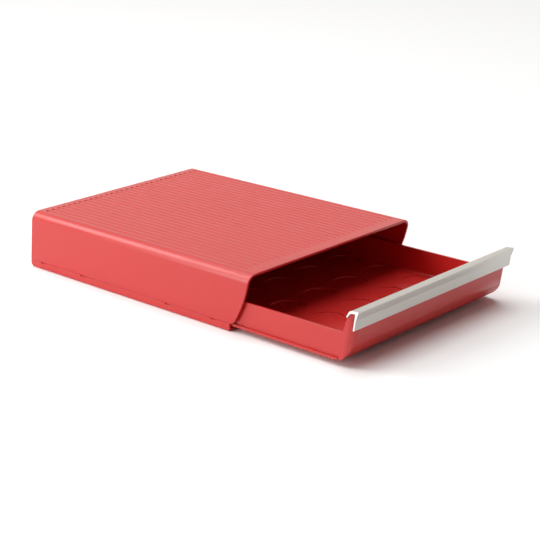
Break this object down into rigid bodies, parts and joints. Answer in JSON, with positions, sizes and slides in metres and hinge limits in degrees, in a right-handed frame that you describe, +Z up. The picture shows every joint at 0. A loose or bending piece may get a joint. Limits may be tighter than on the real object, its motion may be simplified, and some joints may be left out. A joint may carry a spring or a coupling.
{
  "type": "coffee pod drawer",
  "caption": "Low ribbed drawer for single-serve coffee pods: a shallow tray with a metal-capped front slides out of a one-piece sleeve that bears a coffee maker.",
  "frame": {"origin": "on the counter, under the middle of the whole drawer's outline as it stands partly open", "axes": "+X to the drawer's right seen from its front, +Y from the drawer's front to the sleeve's back, +Z up; the drawer opens towards -Y"},
  "size_m": [0.262, 0.472, 0.0653],
  "materials": {
    "sleeve": "satin",
    "base_panel": "satin",
    "drawer_tray": "satin",
    "drawer_front": "satin",
    "handle_strip": "brushed lengthwise",
    "foot_front_left": "matt",
    "foot_front_right": "matt",
    "foot_rear_left": "matt",
    "foot_rear_right": "matt"
  },
  "bodies": {
    "case": {"sleeve": "sleeve", "base_panel": "base_panel", "foot_front_left": "foot_front_left", "foot_front_right": "foot_front_right", "foot_rear_left": "foot_rear_left", "foot_rear_right": "foot_rear_right"},
    "drawer": {"drawer_tray": "drawer_tray", "drawer_front": "drawer_front", "handle_strip": "handle_strip"}
  },
  "joints": [
    {"name": "drawer_slide", "type": "slide", "parent": "case", "child": "drawer", "axis": [0, -1, 0], "range_m": [-0.124, 0.124]}
  ]
}
